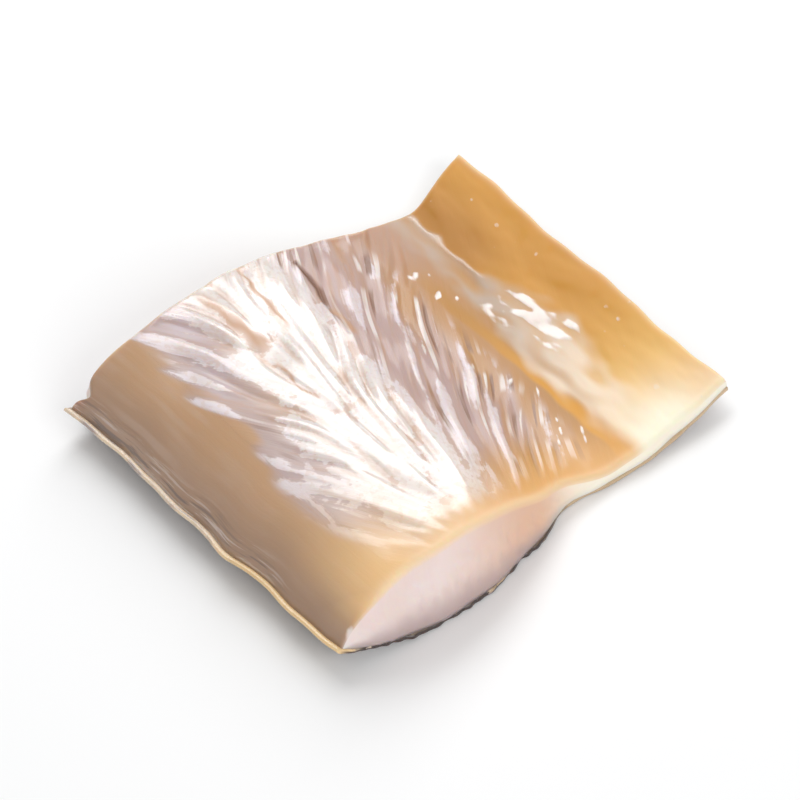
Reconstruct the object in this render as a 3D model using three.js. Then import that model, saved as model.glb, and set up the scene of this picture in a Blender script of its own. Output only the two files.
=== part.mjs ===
// One piece of eel jerky: half of a split eel, cut across the body and dried.
// It lies with the skin down and the flesh up. Millimetres.
// +X runs from the back of the fish to the edge of its belly, +Y along the body, +Z up.

import * as THREE from "three";
import { mergeVertices } from "three/addons/utils/BufferGeometryUtils.js";

// Plan
const WIDTH = 78; // from the rim of skin at the back to the belly edge
const LENGTH = 61; // along the body, between the two knife cuts
const CUT_LEAN = 0.16; // how far a cut runs outward for each millimetre down
const CUT_FADE = 3; // how soon a cut's wandering dies away inside the piece
const FRONT_BULGE = 1.2; // the thick flesh swells out of the front cut
const BULGE_HALF = 16;
const FRONT_NICK = 1.2; // the front cut steps back where the belly begins
const NICK_AT = 47;
const NICK_HALF = 5;
const REAR_BAY = 2.8; // the rear cut dips inward beside the belly's corner
const BAY_HALF = 9;
const RIM_NOTCH = 1.8; // the rear cut has nicked the skin beside the flesh
const NOTCH_AT = 3.2;
const NOTCH_HALF = 1.1;
const RIM_SWELL = 1.2; // the rim stands out before the middle of its length
const SWELL_AT = 0.4;
const SWELL_HALF = 0.055;
const SIDE_FADE = 4; // how soon a side's wandering dies away inside the piece
const EDGE_WAVE = 0.3; // dried edges wander by this much
const EDGE_WAVES = 2.2; // wanderings along one edge
const EDGE_RIPPLE = 0.1; // and ripple a little on the way
const EDGE_RIPPLES = 7.3;
const RIM_START = 2.9; // where the rim's wandering begins

// Section across the body
const RIM_LIFT = 4.6; // the skin curls up off the table along the back
const RIM_THICK = 0.9;
const RIM_LEDGE = 1.0; // bare skin outside the flesh
const DORSAL_FULLNESS = 0.68; // under one, the flesh swells soon after the ledge
const CROWN_AT = 22.5; // from the rim
const CROWN_FRONT = 15.2;
const CROWN_REAR = 14.2;
const KEEL_AT = 19; // where the curled skin reaches the table
const VALLEY_FRONT = 55; // the valley between the thick flesh and the belly, from the rim
const VALLEY_REAR = 66;
const VALLEY_TOP = 3.0;
const CREASE_DEPTH = 0.3; // a line along the bottom of the valley
const CREASE_HALF = 2.4;
const BELLY_TOP_RISE = 2.3; // the belly edge turns up
const BELLY_UNDER_RISE = 2.9;
const BELLY_TURN = 1.5; // over one, the belly turns up late
const ARRIS = 0.8; // rounding of the upper edges
const ARRIS_SHARE = 0.45; // most of the thickness that the rounding takes

// Flakes of muscle, nested points that open to the rear
const SPINE_AT = 26; // the line of the points, from the rim
const FLAKE_HEIGHT = 0.55;
const FLAKE_START = 9.5; // the first point, from the front cut
const FLAKE_PITCH = 17.5; // along the line of the points
const FLAKE_LEAN = 0.55; // how far a flake leaves that line for each millimetre along
const FLAKES_FROM = 12; // from the rim
const FLAKES_SHORT = 2; // they end this far before the valley
const FLAKES_FADE = 8;
const FRONT_SMOOTH = 7; // the knife left the flesh smooth beside the front cut
const CREVICE_DEPTH = 1.1; // one flake has opened near the rear
const CREVICE_FROM = new THREE.Vector2(42.3, 56); // from the rim, from the front cut
const CREVICE_TO = new THREE.Vector2(39.3, 41.5);
const CREVICE_HALF = 1.2;

// Fineness of the surface
const ACROSS_STEPS = 80;
const ALONG_STEPS = 32;
const DEPTH_STEPS = 2;
const ACROSS_CROWDING = 0.3; // share of the steps gathered toward the edges
const ALONG_CROWDING = 0.5;
const SPINE_SHARE = 0.35; // share of the steps that lie before the line of the points
const VALLEY_SHARE = 0.77; // share of the steps that lie before the valley

const { lerp, clamp } = THREE.MathUtils;

// Goes from 0 to 1, level at both ends.
function ease(x) {
  return 0.5 - 0.5 * Math.cos(Math.PI * clamp(x, 0, 1));
}

// A bump of height 1 around a place.
function bump(x, place, half) {
  return Math.exp(-(((x - place) / half) ** 2));
}

// Even steps from 0 to 1, gathered toward both ends.
function crowd(x, share) {
  return lerp(x, ease(x), share);
}

// The wandering of a dried edge.
function wave(share, start) {
  const wander = EDGE_WAVE * Math.sin(start + 2 * Math.PI * EDGE_WAVES * share);
  const ripple = EDGE_RIPPLE * Math.sin(3 * start + 2 * Math.PI * EDGE_RIPPLES * share);
  return wander + ripple;
}

// Where the valley lies, from the rim.
function valleyAt(v) {
  return lerp(VALLEY_FRONT, VALLEY_REAR, v);
}

// Distance from the rim of a step, so that the steps follow the flakes' points and the valley.
function acrossAt(u, v) {
  const valley = valleyAt(v);
  if (u < SPINE_SHARE) {
    return lerp(0, SPINE_AT, u / SPINE_SHARE);
  }
  if (u < VALLEY_SHARE) {
    return lerp(SPINE_AT, valley, (u - SPINE_SHARE) / (VALLEY_SHARE - SPINE_SHARE));
  }
  return lerp(valley, WIDTH, (u - VALLEY_SHARE) / (1 - VALLEY_SHARE));
}

// How far a place lies across the belly: 0 at the valley, 1 at the edge.
function acrossBelly(across, v) {
  return clamp((across - valleyAt(v)) / (WIDTH - valleyAt(v)), 0, 1);
}

// Height of the skin that lies on the table.
function skinHeight(across, v) {
  const back = RIM_LIFT * clamp(1 - across / KEEL_AT, 0, 1) ** 2;
  const belly = BELLY_UNDER_RISE * acrossBelly(across, v) ** 2;
  return back + belly;
}

// Height of the flesh before flakes and rounded edges.
function fleshHeight(across, v) {
  if (across < RIM_LEDGE) {
    return skinHeight(across, v) + RIM_THICK;
  }
  const crown = lerp(CROWN_FRONT, CROWN_REAR, v);
  if (across < CROWN_AT) {
    const ledge = skinHeight(RIM_LEDGE, v) + RIM_THICK;
    const climb = ((across - RIM_LEDGE) / (CROWN_AT - RIM_LEDGE)) ** DORSAL_FULLNESS;
    return lerp(ledge, crown, Math.sin((Math.PI / 2) * climb));
  }
  const valley = valleyAt(v);
  const fall = ease((across - CROWN_AT) / (valley - CROWN_AT));
  const rise = BELLY_TOP_RISE * acrossBelly(across, v) ** BELLY_TURN;
  const crease = CREASE_DEPTH * bump(across, valley, CREASE_HALF);
  return lerp(crown, VALLEY_TOP, fall) + rise - crease;
}

// Flakes run back from the line of their points to both sides.
function flakeHeight(across, along) {
  const behind = along - FLAKE_START - Math.abs(across - SPINE_AT) / FLAKE_LEAN;
  const phase = behind / FLAKE_PITCH;
  const start = ease((across - FLAKES_FROM) / FLAKES_FADE);
  const end = ease((valleyAt(along / LENGTH) - FLAKES_SHORT - across) / FLAKES_FADE);
  const fade = start * end * ease(along / FRONT_SMOOTH);
  return FLAKE_HEIGHT * (Math.abs(Math.sin(Math.PI * phase)) - 0.5) * fade;
}

// Depth of the opened flake at a place.
function creviceDepth(across, along) {
  const place = new THREE.Vector2(across, along);
  const run = CREVICE_TO.clone().sub(CREVICE_FROM);
  const share = clamp(place.clone().sub(CREVICE_FROM).dot(run) / run.lengthSq(), 0, 1);
  const nearest = CREVICE_FROM.clone().addScaledVector(run, share);
  return CREVICE_DEPTH * bump(place.distanceTo(nearest), 0, CREVICE_HALF);
}

// How far a rounded edge has dropped at a distance inside it.
function arrisDrop(inside, thickness) {
  const radius = Math.min(ARRIS, ARRIS_SHARE * thickness);
  const x = clamp(1 - inside / radius, 0, 1);
  return radius * (1 - Math.sqrt(1 - x * x));
}

// Height of the finished top of the flesh.
function topHeight(across, along) {
  const plain = fleshHeight(across, along / LENGTH);
  const thickness = plain - skinHeight(across, along / LENGTH);
  const inside = Math.min(along, LENGTH - along, WIDTH - across);
  const relief = flakeHeight(across, along) - creviceDepth(across, along);
  return plain + relief - arrisDrop(inside, thickness);
}

// How far the front cut stands from its straight line, backward being positive.
function frontCut(across) {
  const swell = FRONT_BULGE * bump(across, CROWN_AT, BULGE_HALF);
  const nick = FRONT_NICK * bump(across, NICK_AT, NICK_HALF);
  return nick - swell + wave(across / WIDTH, 0);
}

// The same for the rear cut.
function rearCut(across) {
  const bay = REAR_BAY * bump(across, VALLEY_REAR, BAY_HALF);
  const notch = RIM_NOTCH * bump(across, NOTCH_AT, NOTCH_HALF);
  return wave(across / WIDTH, 1) - bay - notch;
}

// How far the rim and the belly edge wander sideways at a place along the body.
function sideWander(u, v) {
  const rim = wave(v, RIM_START) - RIM_SWELL * bump(v, SWELL_AT, SWELL_HALF);
  const belly = wave(v, 2);
  return rim * (1 - u) ** SIDE_FADE + belly * u ** SIDE_FADE;
}

// Takes a place in a unit block to its place in the piece.
function shape(u, v, w, place) {
  const across = acrossAt(u, v);
  const along = v * LENGTH;
  const top = topHeight(across, along);
  const z = lerp(skinHeight(across, v), top, w);
  const lean = (2 * v - 1) * CUT_LEAN * (top - z);
  const cuts = frontCut(across) * (1 - v) ** CUT_FADE + rearCut(across) * v ** CUT_FADE;
  place.set(across + sideWander(u, v), along + cuts + lean, z);
}

function makePiece() {
  const box = new THREE.BoxGeometry(1, 1, 1, ACROSS_STEPS, ALONG_STEPS, DEPTH_STEPS);
  box.deleteAttribute("normal");
  box.deleteAttribute("uv");
  const solid = mergeVertices(box, 1e-5);
  const points = solid.getAttribute("position");
  const place = new THREE.Vector3();
  for (let i = 0; i < points.count; i += 1) {
    const u = crowd(points.getX(i) + 0.5, ACROSS_CROWDING);
    const v = crowd(points.getY(i) + 0.5, ALONG_CROWDING);
    shape(u, v, points.getZ(i) + 0.5, place);
    points.setXYZ(i, place.x, place.y, place.z);
  }
  solid.computeBoundingBox();
  const middle = solid.boundingBox.getCenter(new THREE.Vector3());
  solid.translate(-middle.x, -middle.y, -solid.boundingBox.min.z);
  solid.computeVertexNormals();
  return solid;
}

const flesh = new THREE.MeshStandardMaterial({ color: 0xd9b391, roughness: 0.32, metalness: 0 });

const piece = new THREE.Mesh(makePiece(), flesh);
piece.name = "eel_piece";

const part = new THREE.Group();
part.name = "eel_jerky";
part.add(piece);

export default part;
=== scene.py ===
"""A piece of eel jerky, dressed: flaky flesh, belly lining, cut faces and wrinkled skin."""

import logging
import math
from dataclasses import dataclass
from enum import Enum
from functools import cached_property
from typing import ClassVar

import bpy
import numpy as np
from mathutils import Matrix, Vector
from numpy.typing import NDArray


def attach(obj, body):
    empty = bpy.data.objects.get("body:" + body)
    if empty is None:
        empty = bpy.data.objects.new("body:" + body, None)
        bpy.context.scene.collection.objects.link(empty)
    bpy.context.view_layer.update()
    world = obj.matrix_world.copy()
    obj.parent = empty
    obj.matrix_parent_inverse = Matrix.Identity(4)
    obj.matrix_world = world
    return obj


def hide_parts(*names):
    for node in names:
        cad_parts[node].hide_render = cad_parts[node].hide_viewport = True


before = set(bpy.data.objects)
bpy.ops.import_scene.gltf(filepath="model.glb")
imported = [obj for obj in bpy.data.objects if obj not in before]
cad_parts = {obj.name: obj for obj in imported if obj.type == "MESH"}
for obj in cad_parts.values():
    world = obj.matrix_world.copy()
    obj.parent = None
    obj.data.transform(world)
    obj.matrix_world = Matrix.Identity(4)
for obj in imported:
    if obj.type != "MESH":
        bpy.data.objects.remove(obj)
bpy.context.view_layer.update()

NODE = "eel_piece"
BODY = "root"
MM = 0.001

Field = NDArray[np.float64]
Pair = tuple[float, float]
Colour = tuple[float, float, float, float]
Socket = bpy.types.NodeSocket
log = logging.getLogger("eel_jerky")


def ease(x: Field) -> Field:
    """Goes from 0 to 1, level at both ends."""
    return 0.5 - 0.5 * np.cos(np.pi * np.clip(x, 0.0, 1.0))


def bump(x: Field, place: float | Field, half: float | Field) -> Field:
    """A bump of height 1 around a place."""
    return np.exp(-(((x - place) / half) ** 2))


def lerp(a: float | Field, b: float | Field, share: float | Field) -> float | Field:
    """The value at a share of the way from a to b."""
    return a + (b - a) * share


def crowd(x: Field, share: float) -> Field:
    """Even steps from 0 to 1, gathered toward both ends by a share."""
    return lerp(x, ease(x), share)


def soft_border(beyond: Field, width: float | Field) -> Field:
    """Goes from 0 to 1 over a border of some width: one half on it."""
    return ease(beyond / width + 0.5)


def flat_bump(x: Field, place: float, half: float, gain: float = 1.6, sunk: float = 0.2) -> Field:
    """A bump around a place with a flat top and clear ends."""
    return ease(gain * bump(x, place, half) - sunk)


@dataclass(frozen=True)
class Ramp:
    """A smooth step between two values: 0 at the first and before it, 1 at the second and past it."""

    first: float
    second: float

    def at(self, x: Field) -> Field:
        """Height of the step at each value."""
        return ease((x - self.first) / (self.second - self.first))


@dataclass(frozen=True)
class Spot:
    """A soft patch: its place from the rim and the front cut, its half sizes and its strength."""

    across: float
    along: float
    half_across: float
    half_along: float
    strength: float = 1.0

    def at(self, across: Field, along: Field, lean: float = 0.0) -> Field:
        """How strongly the patch shows, leaning toward the belly as it runs back."""
        aside = across - self.across - lean * (along - self.along)
        return self.strength * bump(aside, 0.0, self.half_across) * bump(along, self.along, self.half_along)


@dataclass(frozen=True)
class Ripples:
    """Seeded waves that add up to smooth unevenness, with typical wavelengths in millimetres."""

    seed: int
    x_wave: float
    y_wave: float
    height: float = 1.0
    count: int = 36
    quickness: Pair = (0.5, 1.5)

    def at(self, x: Field, y: Field) -> Field:
        """Unevenness at each place.

        Args:
            x: first coordinate, in millimetres.
            y: second coordinate, in millimetres.

        Returns:
            Values around 0, mostly within twice the height.
        """
        rng = np.random.default_rng(self.seed)
        turn = rng.uniform(0.0, 2.0 * np.pi, self.count)
        quick = rng.uniform(*self.quickness, self.count)
        start = rng.uniform(0.0, 2.0 * np.pi, self.count)
        total = np.zeros(np.shape(x))
        for a, k, s in zip(turn, quick, start):
            run = np.cos(a) * x / self.x_wave + np.sin(a) * y / self.y_wave
            total += np.sin(2.0 * np.pi * k * run + s)
        return self.height * (total / math.sqrt(self.count / 2.0))


class FineFace(Enum):
    """Which face of a block carries the fine grid."""

    UP = 1
    DOWN = -1


@dataclass(frozen=True)
class Block:
    """A closed block with one fine face, walls of several rows and one coarse face.

    A place in it is across and along, both 0 to 1, and depth, 0 on the fine face
    and 1 on the coarse one.
    """

    across_steps: int
    along_steps: int
    rows: int
    coarsening: int
    fine_face: FineFace
    inset: float = 0.02

    @staticmethod
    def _rim(across: int, along: int) -> Field:
        """Indices around a grid's rim.

        Args:
            across: steps across.
            along: steps along.

        Returns:
            One row for each corner, in order: its steps across and along.
        """
        front = [(i, 0) for i in range(across)]
        belly = [(across, j) for j in range(along)]
        rear = [(i, along) for i in range(across, 0, -1)]
        back = [(0, j) for j in range(along, 0, -1)]
        return np.array(front + belly + rear + back)

    def places(self) -> Field:
        """Places of all corners.

        Returns:
            One row for each corner: across, along and depth.
        """
        i, j = np.meshgrid(np.arange(self.across_steps + 1), np.arange(self.along_steps + 1), indexing="ij")
        fine = np.stack([i / self.across_steps, j / self.along_steps, 0.0 * i], -1).reshape(-1, 3)
        rim = self._rim(self.across_steps, self.along_steps)
        flat = rim / np.array([self.across_steps, self.along_steps])
        loops = [
            np.column_stack([flat, np.full(len(flat), row / self.rows)])
            for row in range(1, self.rows + 1)
        ]
        wide = self.across_steps // self.coarsening
        long = self.along_steps // self.coarsening
        i, j = np.meshgrid(np.arange(wide + 1), np.arange(long + 1), indexing="ij")
        inner = np.stack([i / wide, j / long], -1).reshape(-1, 2)
        inner = lerp(self.inset, 1.0 - self.inset, inner)
        coarse = np.column_stack([inner, np.ones(len(inner))])
        return np.concatenate([fine, *loops, coarse])

    @staticmethod
    def _grid(across: int, along: int, first: int) -> Field:
        """Four-sided faces of a grid.

        Args:
            across: steps across.
            along: steps along.
            first: index of the first corner.

        Returns:
            One row of four corner indices for each face.
        """
        i, j = np.meshgrid(np.arange(across), np.arange(along), indexing="ij")
        a = (first + i * (along + 1) + j).ravel()
        b = a + along + 1
        return np.stack([a, b, b + 1, a + 1], -1)

    def faces(self) -> list[list[int]]:
        """Faces of the block, turned outward.

        Returns:
            Lists of corner indices.
        """
        wide = self.across_steps // self.coarsening
        long = self.along_steps // self.coarsening
        stride = self.along_steps + 1
        rim = self._rim(self.across_steps, self.along_steps)
        count = len(rim)
        first_loop = (self.across_steps + 1) * stride
        loops = [rim[:, 0] * stride + rim[:, 1]]
        loops += [first_loop + row * count + np.arange(count) for row in range(self.rows)]
        first_coarse = first_loop + self.rows * count
        made = self._grid(self.across_steps, self.along_steps, 0).tolist()
        for upper, lower in zip(loops, loops[1:]):
            after_upper, after_lower = np.roll(upper, -1), np.roll(lower, -1)
            made += np.stack([upper, lower, after_lower, after_upper], -1).tolist()
        made += self._grid(wide, long, first_coarse)[:, ::-1].tolist()
        made += self._collar(loops[-1], first_coarse, wide, long)
        if self.fine_face is FineFace.DOWN:
            made = [face[::-1] for face in made]
        return made

    def _collar(self, loop: Field, first_coarse: int, wide: int, long: int) -> list[list[int]]:
        """Triangles between the last fine loop and the coarse grid's rim.

        Args:
            loop: corner indices of the fine loop.
            first_coarse: index of the coarse grid's first corner.
            wide: coarse steps across.
            long: coarse steps along.

        Returns:
            Lists of three corner indices.
        """
        rim = self._rim(wide, long)
        inner = first_coarse + rim[:, 0] * (long + 1) + rim[:, 1]
        half = self.coarsening // 2
        made = []
        for m, near in enumerate(inner):
            after = inner[(m + 1) % len(inner)]
            start = m * self.coarsening
            fine = [loop[(start + k) % len(loop)] for k in range(self.coarsening + 1)]
            made += [[fine[k], near, fine[k + 1]] for k in range(half)]
            made.append([fine[half], near, after])
            made += [[fine[k], after, fine[k + 1]] for k in range(half, self.coarsening)]
        return [[int(corner) for corner in face] for face in made]


@dataclass(frozen=True)
class EelForm:
    """The plain form of the piece, in millimetres from the rim and the front cut."""

    width: float = 78.0
    length: float = 61.0
    cut_lean: float = 0.16
    cut_fade: float = 3.0
    front_bulge: float = 1.2
    bulge_half: float = 16.0
    front_nick: float = 1.2
    nick_at: float = 47.0
    nick_half: float = 5.0
    rear_bay: float = 2.8
    bay_half: float = 9.0
    rim_notch: float = 1.8
    notch_at: float = 3.2
    notch_half: float = 1.1
    rim_swell: float = 1.2
    swell_at: float = 0.4
    swell_half: float = 0.055
    side_fade: float = 4.0
    edge_wave: float = 0.3
    edge_waves: float = 2.2
    edge_ripple: float = 0.1
    edge_ripples: float = 7.3
    ripple_shift: float = 3.0
    front_start: float = 0.0
    rear_start: float = 1.0
    rim_start: float = 2.9
    belly_start: float = 2.0
    rim_lift: float = 4.6
    rim_thick: float = 0.9
    rim_ledge: float = 1.0
    dorsal_fullness: float = 0.68
    crown_at: float = 22.5
    crown_front: float = 15.2
    crown_rear: float = 14.2
    keel_at: float = 19.0
    valley_front: float = 55.0
    valley_rear: float = 66.0
    valley_top: float = 3.0
    crease_depth: float = 0.3
    crease_half: float = 2.4
    belly_top_rise: float = 2.3
    belly_under_rise: float = 2.9
    belly_turn: float = 1.5
    arris: float = 0.8
    arris_share: float = 0.45
    centre_steps: tuple[int, int] = (81, 65)

    def wave(self, share: Field, start: float) -> Field:
        """The wandering of a dried edge.

        Args:
            share: how far along the edge a place lies, from 0 to 1.
            start: where in its turn the wandering starts.

        Returns:
            Distances from the straight edge.
        """
        wander = self.edge_wave * np.sin(start + 2.0 * np.pi * self.edge_waves * share)
        turn = self.ripple_shift * start + 2.0 * np.pi * self.edge_ripples * share
        return wander + self.edge_ripple * np.sin(turn)

    def valley_at(self, v: Field) -> Field:
        """Where the valley lies, from the rim."""
        return lerp(self.valley_front, self.valley_rear, v)

    def across_belly(self, across: Field, v: Field) -> Field:
        """How far a place lies across the belly: 0 at the valley, 1 at the edge."""
        valley = self.valley_at(v)
        return np.clip((across - valley) / (self.width - valley), 0.0, 1.0)

    def skin_height(self, across: Field, v: Field) -> Field:
        """Height of the skin that lies on the table."""
        back = self.rim_lift * np.clip(1.0 - across / self.keel_at, 0.0, 1.0) ** 2
        return back + self.belly_under_rise * self.across_belly(across, v) ** 2

    def flesh_height(self, across: Field, v: Field) -> Field:
        """Height of the flesh before flakes and rounded edges.

        Args:
            across: distance from the rim.
            v: share of the length, from the front cut.

        Returns:
            Heights above the table.
        """
        crown = lerp(self.crown_front, self.crown_rear, v)
        valley = self.valley_at(v)
        rim = self.skin_height(across, v) + self.rim_thick
        ledge = self.skin_height(np.full_like(across, self.rim_ledge), v) + self.rim_thick
        climb = np.clip((across - self.rim_ledge) / (self.crown_at - self.rim_ledge), 0.0, 1.0)
        back = lerp(ledge, crown, np.sin(0.5 * np.pi * climb**self.dorsal_fullness))
        fall = lerp(crown, self.valley_top, ease((across - self.crown_at) / (valley - self.crown_at)))
        rise = self.belly_top_rise * self.across_belly(across, v) ** self.belly_turn
        front = fall + rise - self.crease_depth * bump(across, valley, self.crease_half)
        return np.where(across < self.rim_ledge, rim, np.where(across < self.crown_at, back, front))

    def arris_drop(self, inside: Field, thickness: Field) -> Field:
        """How far a rounded edge has dropped.

        Args:
            inside: distance inside the edge.
            thickness: thickness of the piece there.

        Returns:
            Distances down from the plain top.
        """
        radius = np.minimum(self.arris, self.arris_share * thickness)
        x = np.clip(1.0 - inside / radius, 0.0, 1.0)
        return radius * (1.0 - np.sqrt(1.0 - x * x))

    def inside(self, across: Field, along: Field) -> Field:
        """Distance to the nearest of the two cuts and the belly edge."""
        return np.minimum(np.minimum(along, self.length - along), self.width - across)

    def front_cut(self, across: Field) -> Field:
        """The wandering of the front cut.

        Args:
            across: distance from the rim.

        Returns:
            Distances back from its straight line.
        """
        swell = self.front_bulge * bump(across, self.crown_at, self.bulge_half)
        nick = self.front_nick * bump(across, self.nick_at, self.nick_half)
        return nick - swell + self.wave(across / self.width, self.front_start)

    def rear_cut(self, across: Field) -> Field:
        """The wandering of the rear cut.

        Args:
            across: distance from the rim.

        Returns:
            Distances back from its straight line.
        """
        bay = self.rear_bay * bump(across, self.valley_rear, self.bay_half)
        notch = self.rim_notch * bump(across, self.notch_at, self.notch_half)
        return self.wave(across / self.width, self.rear_start) - bay - notch

    def side_wander(self, across: Field, v: Field) -> Field:
        """The wandering of the rim and the belly edge.

        Args:
            across: distance from the rim.
            v: share of the length, from the front cut.

        Returns:
            Distances toward the belly.
        """
        u = across / self.width
        rim = self.wave(v, self.rim_start) - self.rim_swell * bump(v, self.swell_at, self.swell_half)
        belly = self.wave(v, self.belly_start)
        return rim * (1.0 - u) ** self.side_fade + belly * u**self.side_fade

    def place(self, across: Field, along: Field, z: Field, top: Field) -> Field:
        """Takes places in the piece to points in the frame's plan.

        Args:
            across: distance from the rim.
            along: distance from the front cut.
            z: height above the table.
            top: height of the flesh above the same place, from which the cuts lean out.

        Returns:
            One row for each point, before the piece is centred.
        """
        v = along / self.length
        fade_front = np.clip(1.0 - v, 0.0, 1.0) ** self.cut_fade
        fade_rear = np.clip(v, 0.0, 1.0) ** self.cut_fade
        cuts = self.front_cut(across) * fade_front + self.rear_cut(across) * fade_rear
        lean = (2.0 * v - 1.0) * self.cut_lean * (top - z)
        return np.column_stack([across + self.side_wander(across, v), along + cuts + lean, z])

    def centre(self) -> Field:
        """Middle of the piece in plan, which lies at the frame's origin."""
        wide, long = self.centre_steps
        grid = np.meshgrid(np.linspace(0, self.width, wide), np.linspace(0, self.length, long))
        across, along = grid[0].ravel(), grid[1].ravel()
        v = along / self.length
        top = self.flesh_height(across, v)
        under = self.skin_height(across, v)
        points = np.concatenate([
            self.place(across, along, top, top),
            self.place(across, along, under, top),
        ])
        return np.append(0.5 * (points.min(0) + points.max(0))[:2], 0.0)


@dataclass
class Wiring:
    """Places and joins the nodes of one material or node group."""

    tree: bpy.types.NodeTree

    def node(self, kind: str, **settings: object) -> bpy.types.Node:
        """Places a node.

        Args:
            kind: its type.
            settings: its settings by name.

        Returns:
            The node.
        """
        made = self.tree.nodes.new(kind)
        for name, value in settings.items():
            setattr(made, name, value)
        return made

    def put(self, socket: Socket, value: object) -> None:
        """Links a socket to another, or sets its value.

        Args:
            socket: the input.
            value: an output to link, or the value to set.
        """
        if isinstance(value, Socket):
            self.tree.links.new(value, socket)
        else:
            socket.default_value = value

    def fill(self, node: bpy.types.Node, values: dict[str, object]) -> None:
        """Links or sets several inputs of a node by name."""
        for name, value in values.items():
            self.put(node.inputs[name], value)

    def worn(self, name: str) -> Socket:
        """A value that the mesh carries at each corner."""
        return self.node("ShaderNodeAttribute", attribute_name=name).outputs["Fac"]

    def maths(self, work: str, a: object, b: object) -> Socket:
        """Arithmetic on two values.

        Args:
            work: the operation.
            a: the first value.
            b: the second value.

        Returns:
            The result.
        """
        made = self.node("ShaderNodeMath", operation=work)
        self.put(made.inputs[0], a)
        self.put(made.inputs[1], b)
        return made.outputs[0]

    def plus(self, a: object, b: object) -> Socket:
        """The sum of two values."""
        return self.maths("ADD", a, b)

    def times(self, a: object, b: object) -> Socket:
        """The product of two values."""
        return self.maths("MULTIPLY", a, b)

    def swing(self, value: object, size: object) -> Socket:
        """How far a value stands from one half, times a size."""
        return self.times(self.maths("SUBTRACT", value, 0.5), size)

    def mix(self, share: object, low: object, high: object) -> Socket:
        """A colour between two others.

        Args:
            share: how much of the second colour shows.
            low: the first colour.
            high: the second colour.

        Returns:
            The mixed colour.
        """
        made = self.node("ShaderNodeMix", data_type="RGBA")
        self.put(made.inputs[0], share)
        self.put(made.inputs[6], low)
        self.put(made.inputs[7], high)
        return made.outputs[2]

    def lay(self, colour: object, *paints: tuple[str, object]) -> Socket:
        """Lays paints over a colour in turn.

        Args:
            colour: the colour below.
            paints: for each paint, the mesh's value that says where it shows, and its colour.

        Returns:
            The colour on top.
        """
        for name, paint in paints:
            colour = self.mix(self.worn(name), colour, paint)
        return colour

    def span(self, value: object, limits: Pair, ends: Pair = (0.0, 1.0)) -> Socket:
        """A smooth step from one span of values to another.

        Args:
            value: what is measured.
            limits: the values that give the first end and the second.
            ends: the results there and beyond.

        Returns:
            The result.
        """
        made = self.node("ShaderNodeMapRange", interpolation_type="SMOOTHSTEP")
        self.put(made.inputs[0], value)
        for socket, number in zip(made.inputs[1:5], limits + ends):
            socket.default_value = number
        return made.outputs[0]

    def vector(self, x: object, y: object) -> Socket:
        """A level vector.

        Args:
            x: its first value.
            y: its second value.

        Returns:
            The vector.
        """
        made = self.node("ShaderNodeCombineXYZ")
        self.fill(made, {"X": x, "Y": y})
        return made.outputs[0]

    def group(self, tree: bpy.types.NodeTree, values: dict[str, object]) -> bpy.types.Node:
        """Places a node group.

        Args:
            tree: the group.
            values: its inputs by name.

        Returns:
            The group's node.
        """
        made = self.node("ShaderNodeGroup", node_tree=tree)
        self.fill(made, values)
        return made


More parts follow.
